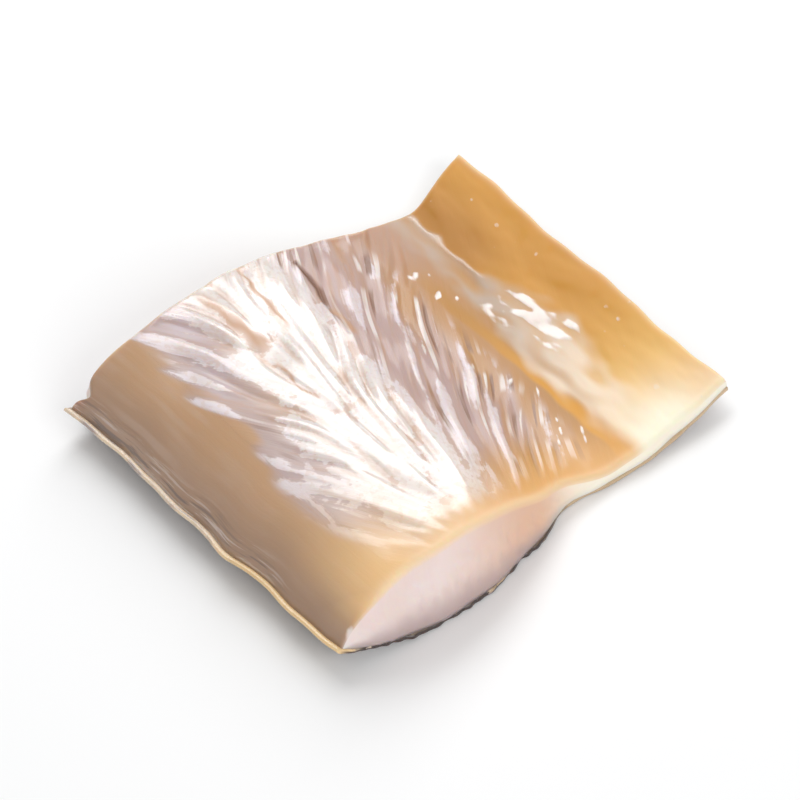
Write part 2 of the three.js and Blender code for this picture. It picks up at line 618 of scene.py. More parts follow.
class Effects:
    """Shader node groups that the flesh and the skin share."""

    def __init__(self) -> None:
        """Builds each group once."""
        self.mottle = self._mottle()
        self.grain = self._grain()

    @staticmethod
    def _start(name: str, inputs: dict[str, float | None], outputs: tuple[str, ...]) -> Wiring:
        """Begins a group.

        Args:
            name: the group's name.
            inputs: first value of each input, or None for a vector.
            outputs: names of the values that it puts out.

        Returns:
            The group's wiring.
        """
        tree = bpy.data.node_groups.new(name, "ShaderNodeTree")
        for title, value in inputs.items():
            kind = "NodeSocketVector" if value is None else "NodeSocketFloat"
            socket = tree.interface.new_socket(name=title, in_out="INPUT", socket_type=kind)
            if value is not None:
                socket.default_value = value
        for title in outputs:
            tree.interface.new_socket(name=title, in_out="OUTPUT", socket_type="NodeSocketFloat")
        return Wiring(tree)

    def _mottle(self) -> bpy.types.NodeTree:
        """Soft blotches: a mask from cloudy noise between two limits."""
        inputs = {"Vector": None, "Scale": 100.0, "Low": 0.4, "High": 0.6}
        w = self._start("soft blotches", inputs, ("Mask",))
        given = w.node("NodeGroupInput").outputs
        noise = w.node("ShaderNodeTexNoise")
        w.fill(noise, {"Vector": given["Vector"], "Scale": given["Scale"], "Detail": 4.0, "Roughness": 0.55})
        step = w.node("ShaderNodeMapRange", interpolation_type="SMOOTHSTEP")
        for socket, value in zip(step.inputs, (noise.outputs["Fac"], given["Low"], given["High"])):
            w.put(socket, value)
        w.fill(w.node("NodeGroupOutput"), {"Mask": step.outputs[0]})
        return w.tree

    def _grain(self) -> bpy.types.NodeTree:
        """Fine fibres and pores: a height that follows the flow of the flesh or skin."""
        inputs = {"Across fibre": 0.0, "Along fibre": 0.0, "Fineness": 1.0, "Pores": 0.3}
        w = self._start("fine grain", inputs, ("Height", "Streak"))
        given = w.node("NodeGroupInput").outputs
        across, along = given["Across fibre"], given["Along fibre"]
        flow = w.vector(across, w.times(along, 0.12))
        streaks = w.node("ShaderNodeTexNoise")
        w.fill(streaks, {"Vector": flow, "Scale": given["Fineness"], "Detail": 5.0, "Roughness": 0.6})
        pores = w.node("ShaderNodeTexNoise")
        w.fill(pores, {"Vector": w.vector(across, along), "Scale": 3.0, "Detail": 3.0})
        streak = streaks.outputs["Fac"]
        height = w.plus(streak, w.times(pores.outputs["Fac"], given["Pores"]))
        w.fill(w.node("NodeGroupOutput"), {"Height": height, "Streak": streak})
        return w.tree

    def blotches(self, w: Wiring, scale: float, low: float, high: float) -> Socket:
        """Places the soft blotches in a material.

        Args:
            w: the material's wiring.
            scale: how small the blotches are.
            low: the noise at which a blotch begins.
            high: the noise at which it is whole.

        Returns:
            Their mask.
        """
        place = w.node("ShaderNodeTexCoord").outputs["Object"]
        values = {"Vector": place, "Scale": scale, "Low": low, "High": high}
        return w.group(self.mottle, values).outputs["Mask"]

    def fibres(self, w: Wiring, fineness: float, pores: float = 0.0, run: float = 1.0) -> bpy.types.Node:
        """Places the fine grain in a material, along the mesh's fibres.

        Args:
            w: the material's wiring.
            fineness: how close the fibres lie.
            pores: how much the pores show.
            run: how fast the fibres change along their length.

        Returns:
            The group's node.
        """
        along = w.times(w.worn("fibre_along"), run)
        across = w.worn("fibre_across")
        values = {"Across fibre": across, "Along fibre": along, "Fineness": fineness, "Pores": pores}
        return w.group(self.grain, values)


@dataclass(frozen=True)
class FleshFinish:
    """Oily dried flesh: tan back, pale wet flakes, pink slope, amber belly and pale cuts, with painted
    highlights, painted glow and some painted shade in its colours.
    """

    tan: Colour = (0.525, 0.32, 0.18, 1.0)
    # painted shade: the back is darker toward the rim
    tan_shaded: Colour = (0.38, 0.25, 0.175, 1.0)
    # pale grey patches on the back: partly its own mottle, partly painted sheen
    tan_grey: Colour = (0.56, 0.42, 0.34, 1.0)
    rim_grey: Colour = (0.15, 0.12, 0.115, 1.0)
    # painted highlight: pale wet streaks along the rim
    rim_highlight: Colour = (0.66, 0.57, 0.53, 1.0)
    # painted glow: golden and copper where light shines through the flesh near the front cut
    golden_glow: Colour = (0.86, 0.56, 0.27, 1.0)
    copper_glow: Colour = (0.78, 0.42, 0.14, 1.0)
    # painted highlights: white on joined strokes, lit threads and glints, pearl on single strokes
    highlight_white: Colour = (0.78, 0.71, 0.67, 1.0)
    pearl_highlight: Colour = (0.69, 0.60, 0.625, 1.0)
    haze: Colour = (0.58, 0.475, 0.50, 1.0)
    lavender: Colour = (0.46, 0.335, 0.30, 1.0)
    flake: Colour = (0.64, 0.48, 0.40, 1.0)
    pink: Colour = (0.48, 0.335, 0.305, 1.0)
    groove: Colour = (0.52, 0.28, 0.14, 1.0)
    # painted shade: the dark bottoms of the thread furrows
    furrow_shade: Colour = (0.25, 0.125, 0.075, 1.0)
    orange: Colour = (0.48, 0.25, 0.095, 1.0)
    amber: Colour = (0.66, 0.32, 0.055, 1.0)
    amber_deep: Colour = (0.47, 0.21, 0.035, 1.0)
    # painted glow: the belly's amber lit through toward the front
    amber_glow: Colour = (0.83, 0.51, 0.14, 1.0)
    line_rear: Colour = (0.47, 0.225, 0.045, 1.0)
    line_front: Colour = (0.72, 0.34, 0.04, 1.0)
    milk: Colour = (0.90, 0.76, 0.61, 1.0)
    milk_grey: Colour = (0.50, 0.41, 0.35, 1.0)
    # painted highlight: near-white glare along the belly's front edge
    front_highlight: Colour = (0.98, 0.90, 0.72, 1.0)
    # painted highlight along the rounded edges of the cuts
    arris: Colour = (0.95, 0.78, 0.55, 1.0)
    cut_pale: Colour = (0.84, 0.72, 0.70, 1.0)
    cut_warm: Colour = (0.74, 0.47, 0.33, 1.0)
    cut_low: Colour = (0.46, 0.34, 0.33, 1.0)
    # painted highlight: near-white glare on the cut's belly end
    cut_glare: Colour = (1.0, 0.90, 0.76, 1.0)
    # painted shade inside the opened flake
    crevice: Colour = (0.17, 0.065, 0.022, 1.0)
    # limits of the painted shade in the furrows and of the painted highlight on the lit threads
    thread_shade: Pair = (-0.95, -1.45)
    thread_lit: Pair = (0.95, 1.35)
    thread_fray: float = 0.9
    stroke_edge: Pair = (-0.032, 0.032)
    stroke_broad: float = 0.45
    slope_calm: float = 0.5
    torn: float = 0.05
    torn_core: float = 0.24
    torn_haze: float = 0.24
    fine_fibre: Pair = (0.48, 0.66)
    fibre_in_bed: float = 0.3
    fibre_in_highlight: float = 0.42
    haze_highlight: float = 0.8
    fibre_run: float = 0.65
    rim_run: float = 0.3
    rim_dark: Pair = (0.52, 0.60)
    # limits of the rim's pale streaks of painted highlight
    rim_highlight_limits: Pair = (0.46, 0.39)
    belly_clouds: float = 0.25
    cut_clouds: float = 0.2
    glint_fray: float = 0.5
    glint_edge: Pair = (0.50, 0.85)
    glint_white: float = 0.8
    dry_roughness: float = 0.58
    wet_gloss: float = 0.28
    glow: float = 0.35
    glow_radius: tuple[float, float, float] = (1.0, 0.42, 0.18)
    glow_depth: float = 0.003

    def make(self, effects: Effects) -> bpy.types.Material:
        """Builds the material.

        Args:
            effects: the shared node groups.

        Returns:
            The material.
        """
        made = bpy.data.materials.new("oily flesh")
        made.use_nodes = True
        w = Wiring(made.node_tree)
        grain = effects.fibres(w, fineness=1.1, pores=0.25, run=self.fibre_run)
        broad = effects.fibres(w, fineness=0.42, run=self.fibre_run)
        wet = w.worn("wet")
        height = w.times(grain.outputs["Height"], w.worn("grain"))
        lumps = w.node("ShaderNodeBump")
        w.fill(lumps, {"Strength": 0.45, "Distance": 0.0003, "Height": height})
        w.fill(made.node_tree.nodes["Principled BSDF"], {
            "Base Color": self._colour(w, effects, grain.outputs["Streak"], broad.outputs["Streak"]),
            "Roughness": w.maths("SUBTRACT", self.dry_roughness, w.times(wet, self.wet_gloss)),
            "Coat Weight": wet,
            "Normal": lumps.outputs["Normal"],
            "Coat Roughness": 0.18,
            "Coat IOR": 1.7,
            "IOR": 1.36,
            "Subsurface Weight": self.glow,
            "Subsurface Radius": self.glow_radius,
            "Subsurface Scale": self.glow_depth,
        })
        return made

    def _crown(self, w: Wiring, effects: Effects, streak: Socket, broad: Socket) -> Socket:
        """The colour of the flaky crown and the slope beside it, with painted highlights on the pale strokes
        and lit threads and painted shade in the furrows.

        Args:
            w: the material's wiring.
            effects: the shared node groups.
            streak: fine fibres as a mask.
            broad: broad fibres as a mask.

        Returns:
            The colour.
        """
        patch = effects.blotches(w, scale=380.0, low=0.3, high=0.7)
        fleck = effects.blotches(w, scale=900.0, low=0.50, high=0.60)
        core, haze, feather, lined = (w.worn(name) for name in ("core", "haze", "feather", "lined"))
        thread = w.plus(w.worn("thread"), w.swing(streak, self.thread_fray))
        # painted shade in the furrows between threads, and painted highlight on the lit threads
        furrow_shade = w.times(w.span(thread, self.thread_shade), lined)
        lit = w.times(w.span(thread, self.thread_lit), lined)
        strokes = w.plus(w.times(broad, self.stroke_broad), w.times(streak, 1.0 - self.stroke_broad))
        calm = w.maths("SUBTRACT", feather, w.times(w.worn("slope"), self.slope_calm))
        torn = w.plus(w.plus(self.torn, w.times(core, self.torn_core)), w.times(haze, self.torn_haze))
        strokes = w.plus(w.swing(strokes, calm), w.swing(patch, torn))
        pale = w.times(w.span(w.plus(strokes, w.worn("pale")), self.stroke_edge), w.worn("crown"))
        fine = w.times(w.span(streak, self.fine_fibre), feather)
        bed = w.lay(self.lavender, ("side", self.pink), ("core", self.flake), ("haze", self.haze),
                    ("foot", self.orange))
        bed = w.mix(w.times(fine, self.fibre_in_bed), bed, self.groove)
        # the pale strokes' painted highlight: white in the core and the lavender patches, pearl elsewhere
        bright = w.mix(w.maths("MAXIMUM", core, w.times(haze, self.haze_highlight)), self.pearl_highlight, self.highlight_white)
        dull = w.times(w.maths("MAXIMUM", fine, fleck), self.fibre_in_highlight)
        colour = w.mix(pale, bed, w.mix(dull, bright, self.flake))
        # the lit threads' painted highlight over the furrows' painted shade
        colour = w.mix(lit, w.mix(furrow_shade, colour, self.furrow_shade), self.highlight_white)
        return w.lay(colour, ("gap", self.groove))

    def _colour(self, w: Wiring, effects: Effects, streak: Socket, broad: Socket) -> Socket:
        """The colour all over the flesh.

        Args:
            w: the material's wiring.
            effects: the shared node groups.
            streak: fine fibres as a mask.
            broad: broad fibres as a mask.

        Returns:
            The colour.
        """
        clouds = effects.blotches(w, scale=120.0, low=0.35, high=0.65)
        wide = effects.blotches(w, scale=45.0, low=0.35, high=0.65)
        rim = effects.fibres(w, fineness=2.4, run=self.rim_run).outputs["Streak"]
        # painted shade: the back turns darker toward the rim, on the low mask
        back = w.lay(self.tan, ("low", self.tan_shaded))
        # pale grey patches on the back: partly mottle, partly painted sheen
        back = w.mix(w.times(wide, w.worn("back_sheen")), back, self.tan_grey)
        # the rim's own dark grey streaks, then pale streaks of painted highlight beside them
        for limits, paint in ((self.rim_dark, self.rim_grey), (self.rim_highlight_limits, self.rim_highlight)):
            back = w.mix(w.times(w.span(rim, limits), w.worn("rim")), back, paint)
        belly = w.lay(self.amber, ("rearward", self.amber_deep))
        belly = w.mix(w.times(wide, self.belly_clouds), belly, self.amber_deep)
        # painted glow of the thin belly toward the front cut
        belly = w.lay(belly, ("front_glow", self.amber_glow))
        colour = w.lay(
            self._crown(w, effects, streak, broad),
            ("dorsal", back),
            ("belly", belly),
            ("amber_line", w.lay(self.line_rear, ("frontward", self.line_front))),
            ("film", w.lay(self.milk_grey, ("frontward", self.milk))),
            # painted glow in a golden band along the front cut
            ("edge_glow", w.lay(self.golden_glow, ("side", self.copper_glow))),
            # painted highlight on the rounded cut edges
            ("arris", self.arris),
            # painted highlight along the belly's front edge and its outer edge
            ("front_edge_highlight", self.front_highlight),
        )
        # glints: painted white highlights
        glint = w.plus(w.worn("glint"), w.swing(streak, self.glint_fray))
        colour = w.mix(w.span(glint, self.glint_edge, (0.0, self.glint_white)), colour, self.highlight_white)
        sliced = w.lay(self.cut_pale, ("cut_side", self.cut_warm))
        sliced = w.mix(w.times(clouds, self.cut_clouds), sliced, self.cut_warm)
        # painted highlight: the belly end of the cut glares near-white
        sliced = w.lay(sliced, ("cut_foot", self.cut_low), ("cut_end_glare", self.cut_glare))
        # the opened flake painted dark: painted shade in the crack
        return w.lay(colour, ("cut", sliced), ("crevice", self.crevice))


@dataclass(frozen=True)
class SkinFinish:
    """Wrinkled eel skin: dark along the back, silver toward the belly, pale and horny inside."""

    dark: Colour = (0.052, 0.032, 0.032, 1.0)
    brown: Colour = (0.12, 0.072, 0.060, 1.0)
    silver: Colour = (0.37, 0.335, 0.395, 1.0)
    crease: Colour = (0.66, 0.60, 0.60, 1.0)
    horn: Colour = (0.78, 0.62, 0.45, 1.0)
    horn_grey: Colour = (0.40, 0.33, 0.30, 1.0)
    gold: Colour = (0.85, 0.58, 0.27, 1.0)
    trim: Colour = (0.045, 0.027, 0.024, 1.0)
    thin: Colour = (0.60, 0.43, 0.26, 1.0)
    silver_streak: Pair = (0.34, 0.60)
    silver_least: float = 0.65
    horn_streak: Pair = (0.46, 0.60)
    gloss: Pair = (0.24, 0.36)

    def make(self, effects: Effects) -> bpy.types.Material:
        """Builds the material.

        Args:
            effects: the shared node groups.

        Returns:
            The material.
        """
        made = bpy.data.materials.new("eel skin")
        made.use_nodes = True
        w = Wiring(made.node_tree)
        grain = effects.fibres(w, fineness=0.7, pores=0.5)
        streak = grain.outputs["Streak"]
        sheen = effects.blotches(w, scale=60.0, low=0.40, high=0.62)
        torn = effects.blotches(w, scale=420.0, low=0.42, high=0.52)
        knots = effects.blotches(w, scale=260.0, low=0.38, high=0.46)
        bright = w.times(w.worn("silver"), w.span(streak, self.silver_streak, (self.silver_least, 1.0)))
        outside = w.mix(bright, w.mix(sheen, self.dark, self.brown), self.silver)
        outside = w.mix(w.times(w.worn("crease"), torn), outside, self.crease)
        inside = w.mix(w.span(streak, self.horn_streak), self.horn, self.horn_grey)
        inside = w.lay(inside, ("gold", self.gold), ("thin", self.thin))
        colour = w.lay(inside, ("outer", outside))
        lumps = w.node("ShaderNodeBump")
        w.fill(lumps, {"Strength": 0.4, "Distance": 0.0003, "Height": grain.outputs["Height"]})
        w.fill(made.node_tree.nodes["Principled BSDF"], {
            "Base Color": w.mix(w.times(w.worn("trim"), knots), colour, self.trim),
            "Roughness": w.span(sheen, (0.0, 1.0), self.gloss),
            "Normal": lumps.outputs["Normal"],
            "Coat Weight": 0.4,
            "Coat Roughness": 0.12,
            "Subsurface Weight": 0.12,
            "Subsurface Radius": (1.0, 0.5, 0.25),
            "Subsurface Scale": 0.0015,
        })
        return made


@dataclass
class Layer:
    """One layer of the piece, made as a block of skin or flesh."""

    form: EelForm
    effects: Effects
    block: Block
    name: str
    slot: str

    def build(self, points: Field, worn: dict[str, Field], material: bpy.types.Material) -> bpy.types.Object:
        """Makes the mesh, dresses it and sets it on its body.

        Args:
            points: the block's corners, in millimetres in the form's plan.
            worn: values that the material reads at each corner, by name.
            material: the finish.

        Returns:
            The finished piece.
        """
        mesh = bpy.data.meshes.new(self.name)
        centred = (points - self.form.centre()) * MM
        mesh.from_pydata(centred.tolist(), [], self.block.faces())
        mesh.polygons.foreach_set("use_smooth", [True] * len(mesh.polygons))
        for name, values in worn.items():
            held = mesh.attributes.new(name, "FLOAT", "POINT")
            held.data.foreach_set("value", np.asarray(values, np.float32))
        mesh.materials.append(material)
        mesh.update()
        piece = bpy.data.objects.new(self.name, mesh)
        bpy.context.scene.collection.objects.link(piece)
        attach(piece, BODY)
        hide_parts(NODE)
        return piece


@dataclass(frozen=True)
class FleshMap:
    """What lies at each place on the flesh: its zones, its flakes and its marks.

    Distances are in millimetres from the rim and the front cut. A grain is a pair of shares,
    the first of the fingers and the second of the strands.
    """

    form: EelForm
    across: Field
    along: Field
    spine: float = 26.0
    slope: Ramp = Ramp(33.0, 40.0)
    # Fibres
    fibre_lean: float = 0.64
    lean_reach: float = 13.0
    fibre_sway: float = 0.16
    sway_across: Pair = (0.19, 0.9)
    sway_along: Pair = (0.23, 0.4)
    comb_waves: int = 60
    comb_stride: float = 0.36
    # Broad flakes
    flake_lean: float = 0.55
    flake_round: float = 1.5
    flake_start: float = 9.5
    flake_pitch: float = 17.5
    flake_drift: Ripples = Ripples(3, 14.0, 24.0, 0.05)
    flakes_from: float = 12.0
    flakes_short: float = 2.0
    flakes_fade: float = 8.0
    front_smooth: float = 7.0
    # Smooth back; each lobe is how far it stands out, where and over what half length
    back_to: float = 12.6
    back_lobes: tuple[tuple[float, float, float], ...] = (
        (-2.8, 18.5, 10.0), (1.6, 36.0, 4.0), (-1.0, 46.5, 4.0))
    back_grain: Pair = (0.6, 0.5)
    back_calm: float = 0.35
    back_border: Pair = (2.6, 1.8)
    back_rear: Ramp = Ramp(26.0, 38.0)
    haze_spots: tuple[Spot, ...] = (
        Spot(19.2, 56.0, 3.4, 5.5, 0.9), Spot(15.5, 46.0, 3.0, 5.0, 0.7), Spot(15.0, 16.0, 4.5, 11.0, 0.7))
    # Wet core of the crown, where the pale strokes join into a broad painted highlight
    core_before: float = 1.5
    core_lean: float = 4.0
    core_leans: Ramp = Ramp(24.0, 58.0)
    core_half: float = 4.2
    core_wider: float = 3.4
    core_fade: float = 7.0
    # Ends of the crown
    crown_from: float = 3.4
    crown_ragged: float = 0.8
    crown_border: float = 3.0
    crown_short: float = 1.6
    crown_fade: float = 3.5
    # Pale strokes, partly pale flesh and partly painted highlight, and bare places among them
    pale_core: float = 0.15
    pale_beside: float = -0.085
    pale_haze: float = 0.10
    pale_slope: float = 0.03
    pale_slopes: Ramp = Ramp(36.0, 42.0)
    pale_outer: Pair = (0.07, 0.04)
    pale_inner: Pair = (0.03, 0.03)
    pale_flakes: float = 0.22
    pale_patches: Ripples = Ripples(19, 9.0, 13.0, 0.03)
    # painted highlight: a pale edge beside the opened flake
    crevice_highlight: float = 0.22
    crevice_highlight_at: float = -1.5
    crevice_highlight_half: float = 0.8
    crevice_highlight_rear: Ramp = Ramp(44.0, 48.0)
    bare_gaps: float = 0.30
    bare_spots: tuple[Spot, ...] = (
        Spot(51.0, 6.0, 4.0, 6.0, 0.06), Spot(17.0, 36.5, 3.2, 4.5, 0.36), Spot(45.5, 53.0, 3.0, 4.0, 0.10))
    # Grooves, and gaps with their two ends and half widths
    groove_grain: Pair = (0.25, 1.0)
    groove_core: Ramp = Ramp(-0.75, -1.45)
    groove_front: Ramp = Ramp(7.0, 21.0)
    groove_thin: Ramp = Ramp(-1.0, -1.6)
    groove_slope: Ramp = Ramp(36.0, 44.0)
    gap_wander: Ripples = Ripples(18, 3.0, 6.0, 0.25)
    gap_taper: float = 0.25
    gap_ways: tuple[tuple[Pair, Pair, float], ...] = (
        ((25.4, 43.0), (24.4, 61.5), 0.85),
        ((24.6, 31.0), (24.0, 43.0), 0.40),
        ((31.0, 44.0), (33.4, 61.5), 0.38),
        ((39.5, 39.5), (40.2, 47.5), 0.55))
    # Orange foot of the slope
    foot_grain: Pair = (1.8, 0.7)
    foot_edge: Ramp = Ramp(46.0, 56.0)
    foot_rear: Ramp = Ramp(42.0, 56.0)
    foot_least: float = 0.45
    foot_front: Ramp = Ramp(15.0, 6.0)
    # Opened flake
    crevice_half: float = 0.32
    crevice_wander: Ripples = Ripples(17, 5.0, 5.0, 0.2)
    crevice_least: float = 0.25
    crevice_rear: Ramp = Ramp(46.0, 50.0)
    crevice_way: tuple[Pair, ...] = (
        (42.6, 57.5), (42.2, 54.5), (40.6, 50.5), (39.6, 46.0), (39.3, 41.0))
    # Amber line
    amber_at: float = 58.2
    amber_wave: float = 0.5
    amber_rate: float = 0.11
    amber_ripple: Ripples = Ripples(77, 8.0, 8.0, 0.12)
    amber_slope: Ramp = Ramp(-1.5, -0.6)
    amber_belly: Ramp = Ramp(2.1, 0.1)
    amber_front: Ramp = Ramp(52.0, 38.0)
    # Film on the belly and its lip
    film_to: float = 66.5
    film_swell: float = 2.5
    film_swell_at: float = 25.0
    film_swell_half: float = 8.0
    film_narrow: float = 1.2
    film_narrows: Ramp = Ramp(38.0, 46.0)
    film_ragged: Ripples = Ripples(31, 5.0, 6.0, 0.35)
    film_from: float = 61.2
    film_reach: float = 2.2
    film_reaches: Ramp = Ramp(38.0, 22.0)
    film_waver: Ripples = Ripples(30, 4.0, 7.0, 0.4)
    film_start: float = 2.2
    film_border: Pair = (3.0, 0.9)
    film_sharp: Ramp = Ramp(38.0, 44.0)
    film_cover: float = 0.8
    film_clouds: Ripples = Ripples(32, 4.0, 9.0, 0.22)
    film_least: float = 0.3
    lip_at: float = -0.3
    lip_half: float = 0.3
    lip_rear: Ramp = Ramp(40.0, 44.0)
    # Glints: painted white highlights of wet spots
    film_lean: float = 0.14
    film_glint_level: float = 0.70
    film_glint_broken: float = 0.30
    film_broad: Ripples = Ripples(34, 2.8, 9.0, count=60)
    film_fine: Ripples = Ripples(35, 1.5, 3.2, 0.6)
    film_glint_along: Pair = (30.0, 9.0)
    film_glint_across: Pair = (-2.8, 3.8)
    foot_glint_strength: float = 1.15
    foot_glint_most: float = 0.85
    foot_glint_cover: float = 0.70
    foot_glint_broken: Ripples = Ripples(33, 1.8, 3.0, 0.24)
    foot_glint_spots: tuple[Spot, ...] = (
        Spot(57.2, 48.4, 1.2, 1.9), Spot(58.9, 46.6, 0.5, 1.1), Spot(57.4, 42.6, 0.8, 1.6),
        Spot(59.8, 41.0, 0.5, 0.9), Spot(57.6, 35.0, 0.6, 1.5), Spot(54.6, 22.6, 0.7, 1.4),
        Spot(56.2, 18.0, 0.3, 2.6), Spot(56.0, 7.5, 0.4, 3.0), Spot(54.2, 11.0, 0.36, 3.4),
        Spot(52.0, 8.5, 0.34, 3.0), Spot(51.2, 27.0, 0.4, 2.2), Spot(47.4, 34.0, 0.4, 2.4))
    specks: Ripples = Ripples(36, 2.2, 3.0)
    speck_patches: Ripples = Ripples(38, 9.0, 9.0, 0.5)
    speck_rare: float = 3.1
    speck_level: float = 0.72
    speck_rise: float = 0.5
    speck_most: float = 0.64
    specks_from: Ramp = Ramp(1.0, 3.0)
    rim_glint: Spot = Spot(2.6, 0.0, 1.1, 0.9, 0.9)

    @cached_property
    def v(self) -> Field:
        """Share of the length, from the front cut."""
        return self.along / self.form.length

    @cached_property
    def past(self) -> Field:
        """Distance beyond the valley."""
        return self.across - self.form.valley_at(self.v)

    @cached_property
    def aside(self) -> Field:
        """Distance from the spine, rounded over beside it."""
        return np.hypot(self.across - self.spine, self.flake_round)

    @cached_property
    def fibre(self) -> Field:
        """Distance over the fibres, which run back from the spine to both sides."""
        return (self.aside - self.flake_lean * self.along) / math.hypot(1.0, self.flake_lean)

    def rough(self, ripples: Ripples) -> Field:
        """Unevenness at each place."""
        return ripples.at(self.across, self.along)

    def shown(self, spots: tuple[Spot, ...], lean: float = 0.0) -> list[Field]:
        """How strongly each of some soft patches shows."""
        return [spot.at(self.across, self.along, lean) for spot in spots]

    def grown(self, grain: Pair) -> Field:
        """Fingers and strands together, each by its share."""
        return grain[0] * self.fingers + grain[1] * self.strands

    def lean(self, x: Field, y: Field) -> Field:
        """How the fibres lean.

        Args:
            x: distance from the rim.
            y: distance from the front cut.

        Returns:
            How far they run sideways for each millimetre back.
        """
        (rate_x, start_x), (rate_y, start_y) = self.sway_across, self.sway_along
        sway = self.fibre_sway * np.sin(rate_x * x + start_x) * np.sin(rate_y * y + start_y)
        return self.fibre_lean * np.tanh((x - self.spine) / self.lean_reach) + sway

    def combed(self, seed: int, wave: float, length: float) -> Field:
        """Seeded unevenness drawn out along the fibres, which lean away from the spine.

        Args:
            seed: seed of the waves.
            wave: typical distance over the fibres, in millimetres.
            length: how far the marks are drawn out, in millimetres.

        Returns:
            Values around 0, mostly between -2 and 2.
        """
        ripples, stride = Ripples(seed, wave, wave, count=self.comb_waves), self.comb_stride * wave
        steps = math.ceil(0.5 * length / stride)
        total = np.zeros(np.shape(self.across))
        for way in (-stride, stride):
            x, y = self.across, self.along
            for n in range(steps):
                weight = 1.0 + math.cos(math.pi * n / steps) if n else 1.0
                total += weight * ripples.at(x, y)
                lean = self.lean(x, y)
                size = np.hypot(lean, 1.0)
                x, y = x + way * lean / size, y + way / size
        return total / np.std(total)

    @cached_property
    def fingers(self) -> Field:
        """Broad fingers along the fibres."""
        return self.combed(seed=13, wave=4.6, length=20.0)

    @cached_property
    def strands(self) -> Field:
        """Strands of muscle."""
        return self.combed(seed=14, wave=2.6, length=15.0)

    @cached_property
    def threads(self) -> Field:
        """The thinnest strands, which show on the slope."""
        return self.combed(seed=15, wave=2.1, length=34.0)

    @cached_property
    def zone(self) -> Field:
        """Where flakes show: between the smooth back and the valley, clear of the front cut."""
        start = ease((self.across - self.flakes_from) / self.flakes_fade)
        end = ease((-self.past - self.flakes_short) / self.flakes_fade)
        return start * end * ease(self.along / self.front_smooth)

    @cached_property
    def flakes(self) -> Field:
        """Height of the broad flakes, from -0.5 to 0.5."""
        behind = self.along - self.flake_start - (self.aside - self.flake_round) / self.flake_lean
        phase = behind / self.flake_pitch + self.rough(self.flake_drift)
        return np.abs(np.sin(np.pi * phase)) - 0.5

    @cached_property
    def dorsal(self) -> Field:
        """The smooth back, which ends in a soft border, more ragged toward the rear."""
        rear = self.back_rear.at(self.along)
        edge = self.back_to + sum(out * bump(self.along, at, half) for out, at, half in self.back_lobes)
        edge = edge - self.grown(self.back_grain) * lerp(self.back_calm, 1.0, rear)
        return 1.0 - soft_border(self.across - edge, lerp(*self.back_border, rear))

    @cached_property
    def haze(self) -> Field:
        """Soft lavender patches between the back and the core."""
        return np.maximum.reduce(self.shown(self.haze_spots))

    @cached_property
    def core(self) -> Field:
        """The wettest of the crown, where the painted highlight is broadest: a band along the spine that
        leans to the belly's side at the rear.
        """
        lean = self.core_lean * self.core_leans.at(self.along)
        aside = self.across - self.spine + self.core_before - lean
        beyond = np.where(aside > 0.0, aside - self.core_wider, -aside) - self.core_half
        return 1.0 - ease(beyond / self.core_fade)

    @cached_property
    def crown(self) -> Field:
        """Where pale strokes may lie: behind the smooth front, between the back and the foot."""
        behind = self.along - self.crown_from - self.crown_ragged * self.strands
        end = ease((self.amber_at - self.crown_short - self.across) / self.crown_fade)
        return soft_border(behind, self.crown_border) * (1.0 - self.dorsal) * end

    @cached_property
    def pale(self) -> Field:
        """How far pale strokes join up: nearly all over in the core, single ones beside it. Their white is
        partly the flakes' own pale colour and partly painted highlight.
        """
        slope = self.pale_slope * self.pale_slopes.at(self.across)
        level = lerp(self.pale_haze * self.haze + self.pale_beside - slope, self.pale_core, self.core)
        flow = lerp(self.grown(self.pale_outer), self.grown(self.pale_inner), self.core)
        flow = flow + self.pale_flakes * self.flakes + self.rough(self.pale_patches)
        # painted highlight along the opened flake's rim side
        lip = self.crevice_highlight * bump(self.beside_crevice, self.crevice_highlight_at, self.crevice_highlight_half)
        bare = self.bare_gaps * self.gaps + sum(self.shown(self.bare_spots))
        return level + flow + lip * self.crevice_highlight_rear.at(self.along) - bare

    @cached_property
    def grooves(self) -> Field:
        """Thin tan grooves between the strands of the core and, fewer, of the slope."""
        core = self.groove_core.at(self.grown(self.groove_grain)) * self.core
        slope = self.groove_thin.at(self.strands) * self.groove_slope.at(self.across)
        return np.maximum(core * self.groove_front.at(self.along), slope) * self.zone

    @cached_property
    def gaps(self) -> Field:
        """Tan gaps between the lobes of the core: 1 along the middle of each."""
        mask = np.zeros(np.shape(self.across))
        wander = self.across + self.rough(self.gap_wander)
        for (x, y), (to_x, to_y), half in self.gap_ways:
            share = (self.along - y) / (to_y - y)
            ends = ease(share / self.gap_taper) * ease((1.0 - share) / self.gap_taper)
            mask = np.maximum(mask, bump(wander, lerp(x, to_x, share), half) * ends)
        return mask

    @cached_property
    def foot(self) -> Field:
        """Where the slope turns orange: toward the amber line and toward the front cut."""
        edge = self.foot_edge.at(self.across - self.grown(self.foot_grain))
        edge = edge * lerp(1.0, self.foot_least, self.foot_rear.at(self.along))
        return np.maximum(edge, self.foot_front.at(self.along) * self.slope.at(self.across))

    @cached_property
    def beside_crevice(self) -> Field:
        """Distance from the opened flake, toward the belly being positive."""
        way = np.array(self.crevice_way)[::-1]
        return self.across - np.interp(self.along, way[:, 1], way[:, 0])

